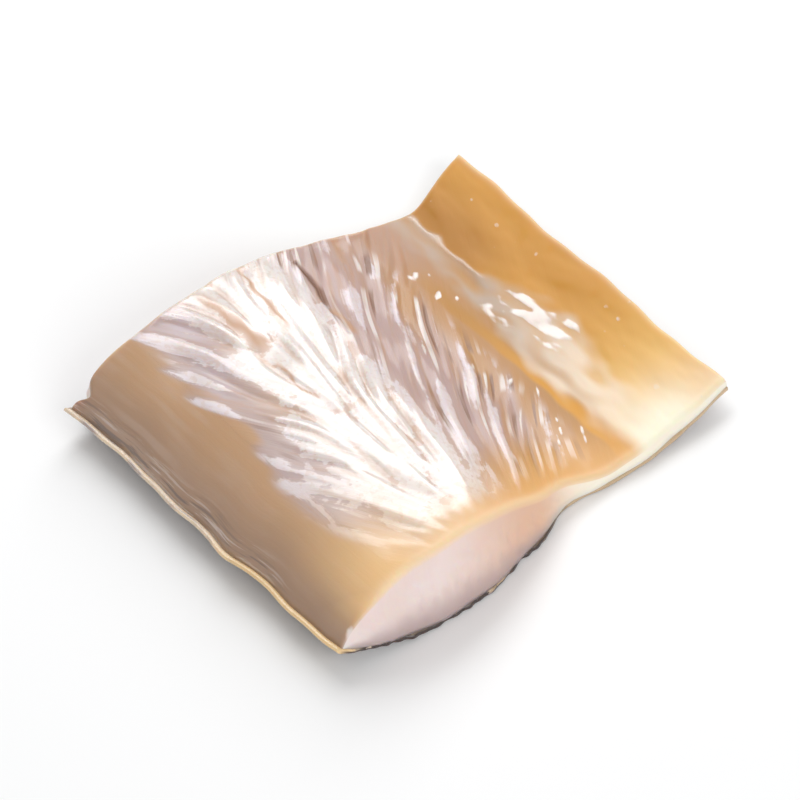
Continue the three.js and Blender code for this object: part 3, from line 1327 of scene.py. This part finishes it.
    @cached_property
    def crevice(self) -> Field:
        """The flake that has opened: 1 along its middle."""
        nearest = np.full(np.shape(self.across), np.inf)
        way = np.array(self.crevice_way)
        wander = self.across + self.rough(self.crevice_wander)
        for a, b in zip(way, way[1:]):
            run = b - a
            x, y = wander - a[0], self.along - a[1]
            share = np.clip((x * run[0] + y * run[1]) / run.dot(run), 0.0, 1.0)
            nearest = np.minimum(nearest, np.hypot(x - share * run[0], y - share * run[1]))
        rear = lerp(self.crevice_least, 1.0, self.crevice_rear.at(self.along))
        return bump(nearest, 0.0, self.crevice_half) * rear

    @cached_property
    def amber_line(self) -> Field:
        """The amber line at the foot of the slope, sharp toward the slope and soft toward the belly."""
        wander = self.amber_wave * np.sin(self.amber_rate * self.along)
        beyond = self.across - self.amber_at - wander - self.rough(self.amber_ripple)
        return self.amber_slope.at(beyond) * self.amber_belly.at(beyond) * self.amber_front.at(self.along)

    @cached_property
    def film_end(self) -> Field:
        """Distance beyond the outer border of the film."""
        wide = self.film_swell * bump(self.along, self.film_swell_at, self.film_swell_half)
        wide = wide - self.film_narrow * self.film_narrows.at(self.along)
        return self.across - self.film_to - wide - self.rough(self.film_ragged)

    @cached_property
    def film(self) -> Field:
        """The pale film that clings to the belly beside the amber line."""
        start = self.film_from - self.film_reach * self.film_reaches.at(self.along)
        start = start + self.rough(self.film_waver)
        border = lerp(*self.film_border, self.film_sharp.at(self.along))
        begun = soft_border(self.across - start, self.film_start)
        clouds = np.clip(self.film_cover + self.rough(self.film_clouds), self.film_least, 1.0)
        return begun * (1.0 - soft_border(self.film_end, border)) * clouds

    @cached_property
    def lip(self) -> Field:
        """The curled outer border of the film at the rear."""
        return bump(self.film_end, self.lip_at, self.lip_half) * self.lip_rear.at(self.along)

    @cached_property
    def film_glints(self) -> Field:
        """Painted white highlights on the film, drawn out along its folds."""
        slant = self.across + self.film_lean * self.along
        rough = self.film_broad.at(slant, self.along) + self.film_fine.at(slant, self.along)
        marks = np.clip(self.film_glint_level + self.film_glint_broken * rough, 0.0, 1.0)
        patch = flat_bump(self.along, *self.film_glint_along) * flat_bump(self.film_end, *self.film_glint_across)
        return marks * patch

    @cached_property
    def foot_glints(self) -> Field:
        """Small painted highlights of wet spots at the foot of the slope."""
        broken = ease(self.foot_glint_cover + self.rough(self.foot_glint_broken))
        marks = np.maximum.reduce(self.shown(self.foot_glint_spots, self.flake_lean))
        return np.clip(self.foot_glint_strength * marks * broken, 0.0, self.foot_glint_most)

    @cached_property
    def belly_glints(self) -> Field:
        """Faint painted highlights of wet specks on the bare belly."""
        specks = self.rough(self.specks) + self.rough(self.speck_patches) - self.speck_rare
        specks = np.clip(self.speck_level + self.speck_rise * specks, 0.0, self.speck_most)
        return specks * self.specks_from.at(self.film_end)

    @cached_property
    def glints(self) -> Field:
        """All glints, painted highlights of wet spots, which are seen above 0.7."""
        rim = self.shown((self.rim_glint,))
        return np.maximum.reduce([self.film_glints, self.foot_glints, self.belly_glints, *rim])


@dataclass
class Flesh(Layer):
    """The flesh: a smooth back, flakes that meet in points, a valley and a thin belly."""

    start: float = 1.0
    under: float = 0.42
    edge_crowding: float = 0.25
    flake_height: float = 0.45
    finger_height: float = 0.10
    strand_height: float = 0.075
    strand_least: float = 0.4
    strand_front: Ramp = Ramp(6.0, 20.0)
    thread_height: float = 0.05
    folds: Ripples = Ripples(51, 7.0, 15.0, 0.10)
    fold_ripples: Ripples = Ripples(52, 2.2, 4.0, 0.015)
    folds_from: Ramp = Ramp(0.0, 3.0)
    swell: Ripples = Ripples(41, 15.0, 19.0, 0.15)
    swell_from: Ramp = Ramp(1.5, 5.5)
    film_rise: float = 0.15
    lip_height: float = 0.10
    glint_height: float = 0.08
    glint_from: Ramp = Ramp(0.5, 0.9)
    crevice_depth: float = 0.5
    edge_calm: float = 0.35
    edge_reach: Ramp = Ramp(0.0, 2.0)
    # Cut faces
    on_cut: float = 1e-6
    cut_swell: float = 0.30
    cut_ridges: Ripples = Ripples(61, 3.0, 4.5, 0.10)
    cut_grit: Ripples = Ripples(62, 1.2, 1.5, 0.03)
    cut_full: float = 6.0
    cut_below: Ramp = Ramp(-0.032, 0.048)
    cut_before: Ramp = Ramp(0.24, -0.36)
    cut_foot: Ramp = Ramp(0.45, 1.0)
    # Rim, lines, sheen and gaps
    rim_width: Ramp = Ramp(3.8, 1.0)
    rim_length: Ramp = Ramp(8.0, 22.0)
    lined_back: float = 0.5
    lined_backs: Ramp = Ramp(19.0, 15.0)
    lined_cover: float = 0.55
    lined_broken: Ripples = Ripples(42, 6.0, 9.0, 0.5)
    sheen_cover: float = 0.45
    sheen_broken: Ripples = Ripples(72, 2.0, 22.0, 0.4)
    feather_from: Ramp = Ramp(0.5, 3.5)
    gap_shown: float = 0.75
    groove_shown: float = 0.38
    # Wetness
    joined_border: float = 1.0 / 3.0
    wet_plain: Pair = (0.10, 0.05)
    wet_belly: Ramp = Ramp(56.0, 60.0)
    wet_apart: float = 0.14
    wet_joined: Pair = (0.50, 0.80)
    wet_glint: float = 0.8
    wet_glints: Ramp = Ramp(0.55, 0.90)
    wet_lip: float = 0.7
    wet_rim: float = 0.5
    dry_cut: float = 0.8
    # Painted glow along the front, painted highlights on the edges, the belly's colours and grain
    edge_glow_band: float = 0.85
    edge_glow_half: Pair = (5.5, 8.0)
    edge_glow_widens: Ramp = Ramp(32.0, 40.0)
    edge_glow_corner: Spot = Spot(12.0, 0.0, 9.0, 12.0)
    edge_glow_from: Ramp = Ramp(1.0, 7.0)
    arris_highlight_front: float = 1.1
    arris_highlight_rear: float = 0.5
    arris_highlight_from: Ramp = Ramp(4.0, 10.0)
    deep_amber: Ramp = Ramp(34.0, 50.0)
    deep_amber_at: float = 67.0
    deep_amber_half: float = 6.0
    film_shown: Pair = (0.85, 0.7)
    film_dulls: Ramp = Ramp(36.0, 48.0)
    # painted highlight on the film's curled lip
    lip_highlight: float = 0.6
    # reach of the painted highlight along the belly's front edge
    front_highlight_half: float = 8.0
    front_highlight_from: Ramp = Ramp(59.0, 62.0)
    front_highlight_fades: Ramp = Ramp(67.0, 76.0)
    front_highlight_least: float = 0.4
    belly_edge_highlight: float = 0.4
    belly_edge_highlight_half: float = 0.8
    belly_edge_highlight_down: Ramp = Ramp(0.25, 0.0)
    grain_plain: float = 0.45
    grain_belly: float = 0.4
    grain_fades: Ramp = Ramp(57.0, 61.0)

    AS_MAPPED: ClassVar[tuple[str, ...]] = (
        "core", "pale", "crown", "haze", "foot", "dorsal", "amber_line", "crevice")
    BY_WIDTH: ClassVar[dict[str, Ramp]] = {
        "side": Ramp(22.0, 34.0),
        # low: painted shade on the back, 1 at the rim and fading up the back
        "low": Ramp(11.0, 1.0),
        "belly": Ramp(60.0, 65.0),
        "cut_side": Ramp(14.0, 40.0),
        # where the painted glare on the cut's belly end shows
        "cut_end_glare": Ramp(38.0, 52.0),
    }
    # front_glow: where the belly's painted glow shows
    BY_LENGTH: ClassVar[dict[str, Ramp]] = {"front_glow": Ramp(30.0, 0.0), "frontward": Ramp(42.0, 12.0)}
    STRENGTH: ClassVar[dict[str, float]] = {
        "back_sheen": 0.35, "rim": 0.7, "lined": 0.85, "arris": 0.55, "amber_line": 0.95,
        "cut_foot": 0.9, "cut_end_glare": 0.9, "crevice": 0.9,
    }

    def top(self, ground: FleshMap) -> Field:
        """Height of the finished top of the flesh.

        Args:
            ground: what lies at each place.

        Returns:
            Heights above the table.
        """
        form = self.form
        plain = form.flesh_height(ground.across, ground.v)
        thickness = plain - form.skin_height(ground.across, ground.v)
        inside = form.inside(ground.across, ground.along)
        fading = lerp(self.strand_least, 1.0, self.strand_front.at(ground.along))
        muscle = self.flake_height * ground.flakes + self.finger_height * ground.fingers
        muscle += self.strand_height * ground.strands * fading
        muscle += self.thread_height * ground.threads * ground.slope.at(ground.across)
        folds = ground.rough(self.folds) + ground.rough(self.fold_ripples)
        relief = ground.zone * muscle + self.folds_from.at(ground.past) * folds
        relief += self.swell_from.at(thickness) * ground.rough(self.swell)
        relief += self.film_rise * ground.film + self.lip_height * ground.lip
        relief += self.glint_height * self.glint_from.at(ground.glints) - self.crevice_depth * ground.crevice
        calm = lerp(self.edge_calm, 1.0, self.edge_reach.at(inside))
        return plain + relief * calm - form.arris_drop(inside, thickness)

    def make(self, finish: FleshFinish) -> bpy.types.Object:
        """Builds the flesh.

        Args:
            finish: its finish.

        Returns:
            The finished piece.
        """
        form = self.form
        places = self.block.places()
        across = lerp(self.start, form.width, crowd(places[:, 0], self.edge_crowding))
        along = form.length * crowd(places[:, 1], self.edge_crowding)
        depth = places[:, 2]
        ground = FleshMap(form, across, along)
        top = self.top(ground)
        under = form.skin_height(across, ground.v) + self.under
        z = lerp(top, under, depth)
        points = form.place(across, along, z, top)
        wall = np.sin(np.pi * np.clip(depth, 0.0, 1.0)) * (depth < 1.0)
        rear = np.where(along > form.length - self.on_cut, 1.0, 0.0)
        outward = np.where(along < self.on_cut, -1.0, rear)
        sliced = self.cut_swell + self.cut_ridges.at(across, z) + self.cut_grit.at(across, z)
        points[:, 1] += outward * wall * sliced * np.clip((top - under) / self.cut_full, 0.0, 1.0)
        return self.build(points, self._worn(ground, depth, outward), finish.make(self.effects))

    def _wet(self, ground: FleshMap, rim: Field) -> Field:
        """How wet the top is: most of all where pale strokes join, and on the marks.

        Args:
            ground: what lies at each place.
            rim: where the rim shows.

        Returns:
            Values from 0 to 1.
        """
        joined = soft_border(ground.pale, self.joined_border) * ground.crown
        crown = lerp(self.wet_apart, lerp(*self.wet_joined, ground.core), joined)
        wet = lerp(*self.wet_plain, self.wet_belly.at(ground.across)) + ground.crown * crown
        marks = self.wet_glint * self.wet_glints.at(ground.glints)
        wet = np.maximum.reduce([wet, marks, self.wet_lip * ground.lip, self.wet_rim * rim])
        return np.clip(wet * (1.0 - ground.crevice), 0.0, 1.0)

    def _worn(self, ground: FleshMap, depth: Field, outward: Field) -> dict[str, Field]:
        """Values that the finish reads at each corner.

        Args:
            ground: what lies at each place.
            depth: 0 on top, 1 at the skin.
            outward: -1 on the front cut, 1 on the rear cut, 0 elsewhere.

        Returns:
            The values by name.
        """
        across, along = ground.across, ground.along
        slope = ground.slope.at(across)
        feather = self.feather_from.at(np.abs(across - ground.spine))
        cut = np.where(outward != 0.0, self.cut_below.at(depth), self.cut_before.at(along))
        rim = self.rim_width.at(across) * self.rim_length.at(along)
        lined = np.maximum(slope, self.lined_back * self.lined_backs.at(across)) * ground.crown
        lined = lined * ease(self.lined_cover + ground.rough(self.lined_broken))
        # painted glow along the front cut and at its corner near the rim
        band = self.edge_glow_band * bump(along, 0.0, lerp(*self.edge_glow_half, self.edge_glow_widens.at(across)))
        edge_glow = np.maximum(band, self.edge_glow_corner.at(across, along)) * self.edge_glow_from.at(across)
        # painted highlight along the front and rear rounded edges
        arris = bump(along, 0.0, self.arris_highlight_front) + bump(along, self.form.length, self.arris_highlight_rear)
        # painted highlight along the belly's front edge, and a thin one along its outer edge
        milk = bump(along, 0.0, self.front_highlight_half) * lerp(1.0, self.front_highlight_least, self.front_highlight_fades.at(across))
        edge = bump(across, self.form.width, self.belly_edge_highlight_half) * self.belly_edge_highlight_down.at(depth)
        film = ground.film * lerp(*self.film_shown, self.film_dulls.at(along))
        worn = {
            "fibre_across": np.where(across < ground.flakes_from, across, ground.fibre),
            "fibre_along": along,
            "feather": feather,
            "slope": slope,
            "thread": ground.threads,
            "lined": lined,
            "gap": np.maximum(self.gap_shown * ground.gaps, self.groove_shown * ground.grooves),
            # back_sheen: where the pale grey patches show, partly mottle and partly painted sheen
            "back_sheen": ease(self.sheen_cover + ground.rough(self.sheen_broken)),
            "rim": rim,
            "arris": arris * self.arris_highlight_from.at(across),
            "edge_glow": edge_glow,
            "rearward": self.deep_amber.at(along) * bump(across, self.deep_amber_at, self.deep_amber_half),
            # the film's curled lip painted pale: a painted highlight
            "film": np.maximum(film, self.lip_highlight * ground.lip),
            "front_edge_highlight": np.maximum(milk * self.front_highlight_from.at(across), self.belly_edge_highlight * edge),
            "glint": ground.glints,
            "grain": lerp(self.grain_plain, feather, ground.zone)
            * lerp(1.0, self.grain_belly, self.grain_fades.at(across)),
            "cut": cut,
            "cut_foot": self.cut_foot.at(depth),
            "wet": self._wet(ground, rim) * (1.0 - self.dry_cut * cut),
        }
        worn |= {name: getattr(ground, name) for name in self.AS_MAPPED}
        worn |= {name: ramp.at(across) for name, ramp in self.BY_WIDTH.items()}
        worn |= {name: ramp.at(along) for name, ramp in self.BY_LENGTH.items()}
        return {name: self.STRENGTH.get(name, 1.0) * values for name, values in worn.items()}


@dataclass
class Skin(Layer):
    """The skin under the flesh, curled up at the back and a little longer than the cuts."""

    edge_crowding: float = 0.2
    # Thickness and edges
    thick: float = 0.5
    rim_thick: float = 0.8
    ledge_fade: float = 2.0
    proud: float = 0.22
    proud_level: float = 0.3
    proud_wander: Ripples = Ripples(86, 7.0, 7.0, 0.6)
    teeth: Ripples = Ripples(87, 2.4, 2.4, 0.10)
    teeth_to: Ramp = Ramp(46.0, 34.0)
    wrinkle: float = 0.12
    wrinkle_level: float = 0.5
    wrinkle_broad: Ripples = Ripples(84, 3.0, 5.0, 0.35)
    wrinkle_fine: Ripples = Ripples(85, 1.4, 2.4, 0.25)
    relief_most: float = 0.34
    calm_rim: Ramp = Ramp(0.0, 3.0)
    calm_edge: Ramp = Ramp(0.0, 2.0)
    # Creases
    crease_depth: float = 0.16
    crease_pitch: float = 8.0
    crease_half: float = 0.36
    crease_turns: Pair = (0.62, -0.95)
    crease_drifts: tuple[Ripples, ...] = (Ripples(81, 18.0, 18.0, 0.7), Ripples(82, 18.0, 18.0, 0.7))
    crease_cover: float = 0.85
    crease_broken: Ripples = Ripples(83, 12.0, 12.0, 0.35)
    crease_shown: float = 0.8
    rim_round: float = 0.25
    rim_round_to: float = 0.6
    # Where each colour shows
    outer_down: Ramp = Ramp(0.8, 0.3)
    outer_from: Ramp = Ramp(0.0, 2.0)
    edge_bare: float = 0.9
    edge_bare_half: float = 1.0
    edge_bare_from: Ramp = Ramp(30.0, 42.0)
    gold: float = 0.8
    gold_length: Ramp = Ramp(32.0, 20.0)
    gold_width: Ramp = Ramp(4.0, 2.0)
    trim_half: float = 0.5
    trim_from: Ramp = Ramp(2.5, 4.5)
    trim_to: Ramp = Ramp(50.0, 40.0)
    thin_from: Ramp = Ramp(5.0, 35.0)
    silver: float = 0.9
    silver_from: Ramp = Ramp(22.0, 50.0)
    silver_wander: Ripples = Ripples(88, 20.0, 14.0, 4.0)
    fibre_close: float = 1.6

    def creases(self, across: Field, along: Field) -> Field:
        """Mask of the crossed creases.

        Args:
            across: distance from the rim.
            along: distance from the front cut.

        Returns:
            1 along each of them, 0 between.
        """
        mask = np.zeros(np.shape(across))
        for turn, drift in zip(self.crease_turns, self.crease_drifts):
            run = np.cos(turn) * across + np.sin(turn) * along + drift.at(across, along)
            apart = np.abs((run / self.crease_pitch) % 1.0 - 0.5) * self.crease_pitch
            mask = np.maximum(mask, bump(apart, 0.0, self.crease_half))
        return mask * ease(self.crease_cover + self.crease_broken.at(across, along))

    def relief(self, across: Field, along: Field, creases: Field) -> Field:
        """Height of the wrinkles and creases, which dies away at the edges.

        Args:
            across: distance from the rim.
            along: distance from the front cut.
            creases: mask of the creases.

        Returns:
            How far the outside stands in from its plain form.
        """
        rough = self.wrinkle_broad.at(across, along) + self.wrinkle_fine.at(across, along)
        wrinkles = self.wrinkle_level + rough
        calm = self.calm_rim.at(across) * self.calm_edge.at(self.form.inside(across, along))
        return calm * np.clip(self.wrinkle * wrinkles + self.crease_depth * creases, 0.0, self.relief_most)

    def make(self, finish: SkinFinish) -> bpy.types.Object:
        """Builds the skin.

        Args:
            finish: its finish.

        Returns:
            The finished piece.
        """
        form = self.form
        places = self.block.places()
        across = form.width * crowd(places[:, 0], self.edge_crowding)
        along = form.length * crowd(places[:, 1], self.edge_crowding)
        depth = places[:, 2]
        v = along / form.length
        plain = form.skin_height(across, v)
        creases = self.creases(across, along)
        ledge = 1.0 - ease((across - form.rim_ledge) / self.ledge_fade)
        outer = plain + self.relief(across, along, creases)
        z = lerp(outer, plain + lerp(self.thick, self.rim_thick, ledge), depth)
        ragged = self.proud * (self.proud_level + self.proud_wander.at(across, along))
        ragged += self.teeth.at(across, along) * self.teeth_to.at(across)
        points = form.place(across, along, z, form.flesh_height(across, v))
        points[:, 1] += (2.0 * v - 1.0) * ragged
        rounding = np.sin(np.pi * depth) - 1.0
        points[:, 0] -= self.rim_round * rounding * np.clip(1.0 - across / self.rim_round_to, 0.0, 1.0)
        worn = self._worn(across, along, depth) | {"crease": self.crease_shown * creases}
        return self.build(points, worn, finish.make(self.effects))

    def _worn(self, across: Field, along: Field, depth: Field) -> dict[str, Field]:
        """Values that the finish reads at each corner, apart from the creases.

        Args:
            across: distance from the rim.
            along: distance from the front cut.
            depth: 0 outside, 1 at the flesh.

        Returns:
            The values by name.
        """
        bare = self.edge_bare * bump(self.form.inside(across, along), 0.0, self.edge_bare_half)
        outer = self.outer_down.at(depth) * self.outer_from.at(across)
        from_cut = np.minimum(along, self.form.length - along)
        trim = self.trim_from.at(across) * self.trim_to.at(across)
        wander = self.silver_wander.at(across, along)
        return {
            "outer": outer * (1.0 - bare * self.edge_bare_from.at(across)),
            "gold": self.gold * self.gold_length.at(along) * self.gold_width.at(across),
            "trim": bump(from_cut, 0.0, self.trim_half) * trim,
            "thin": self.thin_from.at(across),
            "silver": self.silver * self.silver_from.at(across - wander),
            "fibre_across": across * self.fibre_close,
            "fibre_along": along,
        }


@dataclass(frozen=True)
class SoftBox:
    """One soft studio light, set level with the horizon along its long side or tipped."""

    name: str
    place: tuple[float, float, float]
    long_way: tuple[float, float, float]
    length: float
    height: float
    power: float
    colour: tuple[float, float, float] = (1.0, 1.0, 1.0)

    def make(self, aim: Vector) -> None:
        """Hangs the light.

        Args:
            aim: the point that it faces.
        """
        data = bpy.data.lights.new(self.name, "AREA")
        data.shape = "RECTANGLE"
        data.size, data.size_y = self.length, self.height
        data.energy = self.power
        data.color = self.colour
        light = bpy.data.objects.new(self.name, data)
        back = (Vector(self.place) - aim).normalized()
        side = Vector(self.long_way)
        side = (side - back * side.dot(back)).normalized()
        turned = Matrix((side, back.cross(side), back)).transposed().to_4x4()
        light.matrix_world = Matrix.Translation(self.place) @ turned
        bpy.context.scene.collection.objects.link(light)


@dataclass(frozen=True)
class Studio:
    """A pale floor, soft lights and the camera."""

    azimuth: float = -41.4
    elevation: float = 50.5
    lens: float = 400.0
    frame_width: float = 0.120
    aim: tuple[float, float, float] = (0.0, 0.0, 0.005)
    view_reach: float = 10.0
    floor_size: float = 4.0
    floor_gap: float = 0.0002
    floor_roughness: float = 0.7
    floor_colour: Colour = (0.93, 0.93, 0.93, 1.0)
    sky: Colour = (1.0, 1.0, 1.0, 1.0)
    sky_strength: float = 0.45
    lights: tuple[SoftBox, ...] = (
        SoftBox("window light", (0.27, 0.31, 0.44), (0.93, 0.0, -0.36), 0.80, 0.22, 2.7, (0.98, 0.99, 1.0)),
        SoftBox("front fill", (-0.15, -0.75, 0.55), (1.0, 0.0, 0.0), 0.8, 0.6, 4.0),
    )

    def make(self) -> None:
        """Builds floor, lights and camera."""
        self._floor()
        for light in self.lights:
            light.make(Vector(self.aim))
        world = bpy.data.worlds.new("pale room")
        bpy.context.scene.world = world
        world.use_nodes = True
        room = world.node_tree.nodes["Background"]
        room.inputs["Color"].default_value = self.sky
        room.inputs["Strength"].default_value = self.sky_strength
        bpy.context.scene.view_settings.view_transform = "Standard"
        self._camera()

    def _floor(self) -> None:
        """Lays the floor just under the piece."""
        half = 0.5 * self.floor_size
        corners = [(-half, -half, 0.0), (half, -half, 0.0), (half, half, 0.0), (-half, half, 0.0)]
        mesh = bpy.data.meshes.new("floor")
        mesh.from_pydata(corners, [], [(0, 1, 2, 3)])
        floor = bpy.data.objects.new("floor", mesh)
        floor.location.z = -self.floor_gap
        paper = bpy.data.materials.new("pale floor")
        paper.use_nodes = True
        shader = paper.node_tree.nodes["Principled BSDF"]
        shader.inputs["Base Color"].default_value = self.floor_colour
        shader.inputs["Roughness"].default_value = self.floor_roughness
        mesh.materials.append(paper)
        bpy.context.scene.collection.objects.link(floor)

    def _camera(self) -> None:
        """Sets the camera at the viewing angle."""
        data = bpy.data.cameras.new("camera")
        data.lens = self.lens
        data.clip_end = self.view_reach
        camera = bpy.data.objects.new("camera", data)
        turn, rise = math.radians(self.azimuth), math.radians(self.elevation)
        level = math.cos(rise)
        back = Vector((math.sin(turn) * level, -math.cos(turn) * level, math.sin(rise)))
        camera.location = Vector(self.aim) + back * (self.frame_width * self.lens / data.sensor_width)
        camera.rotation_euler = back.to_track_quat("Z", "Y").to_euler()
        bpy.context.scene.collection.objects.link(camera)
        bpy.context.scene.camera = camera


def main() -> None:
    """Builds the piece and its studio, and reports each layer."""
    logging.basicConfig(level=logging.INFO, format="%(name)s: %(message)s")
    form, effects = EelForm(), Effects()
    upper = Block(across_steps=310, along_steps=230, rows=20, coarsening=10, fine_face=FineFace.UP)
    lower = Block(across_steps=280, along_steps=210, rows=6, coarsening=10, fine_face=FineFace.DOWN)
    flesh = Flesh(form, effects, upper, "eel_flesh", "flesh")
    skin = Skin(form, effects, lower, "eel_skin", "skin")
    for piece in (flesh.make(FleshFinish()), skin.make(SkinFinish())):
        log.info("%s: %d faces, %s", piece.name, len(piece.data.polygons), piece.dimensions)
    Studio().make()


if __name__ == "__main__":
    main()
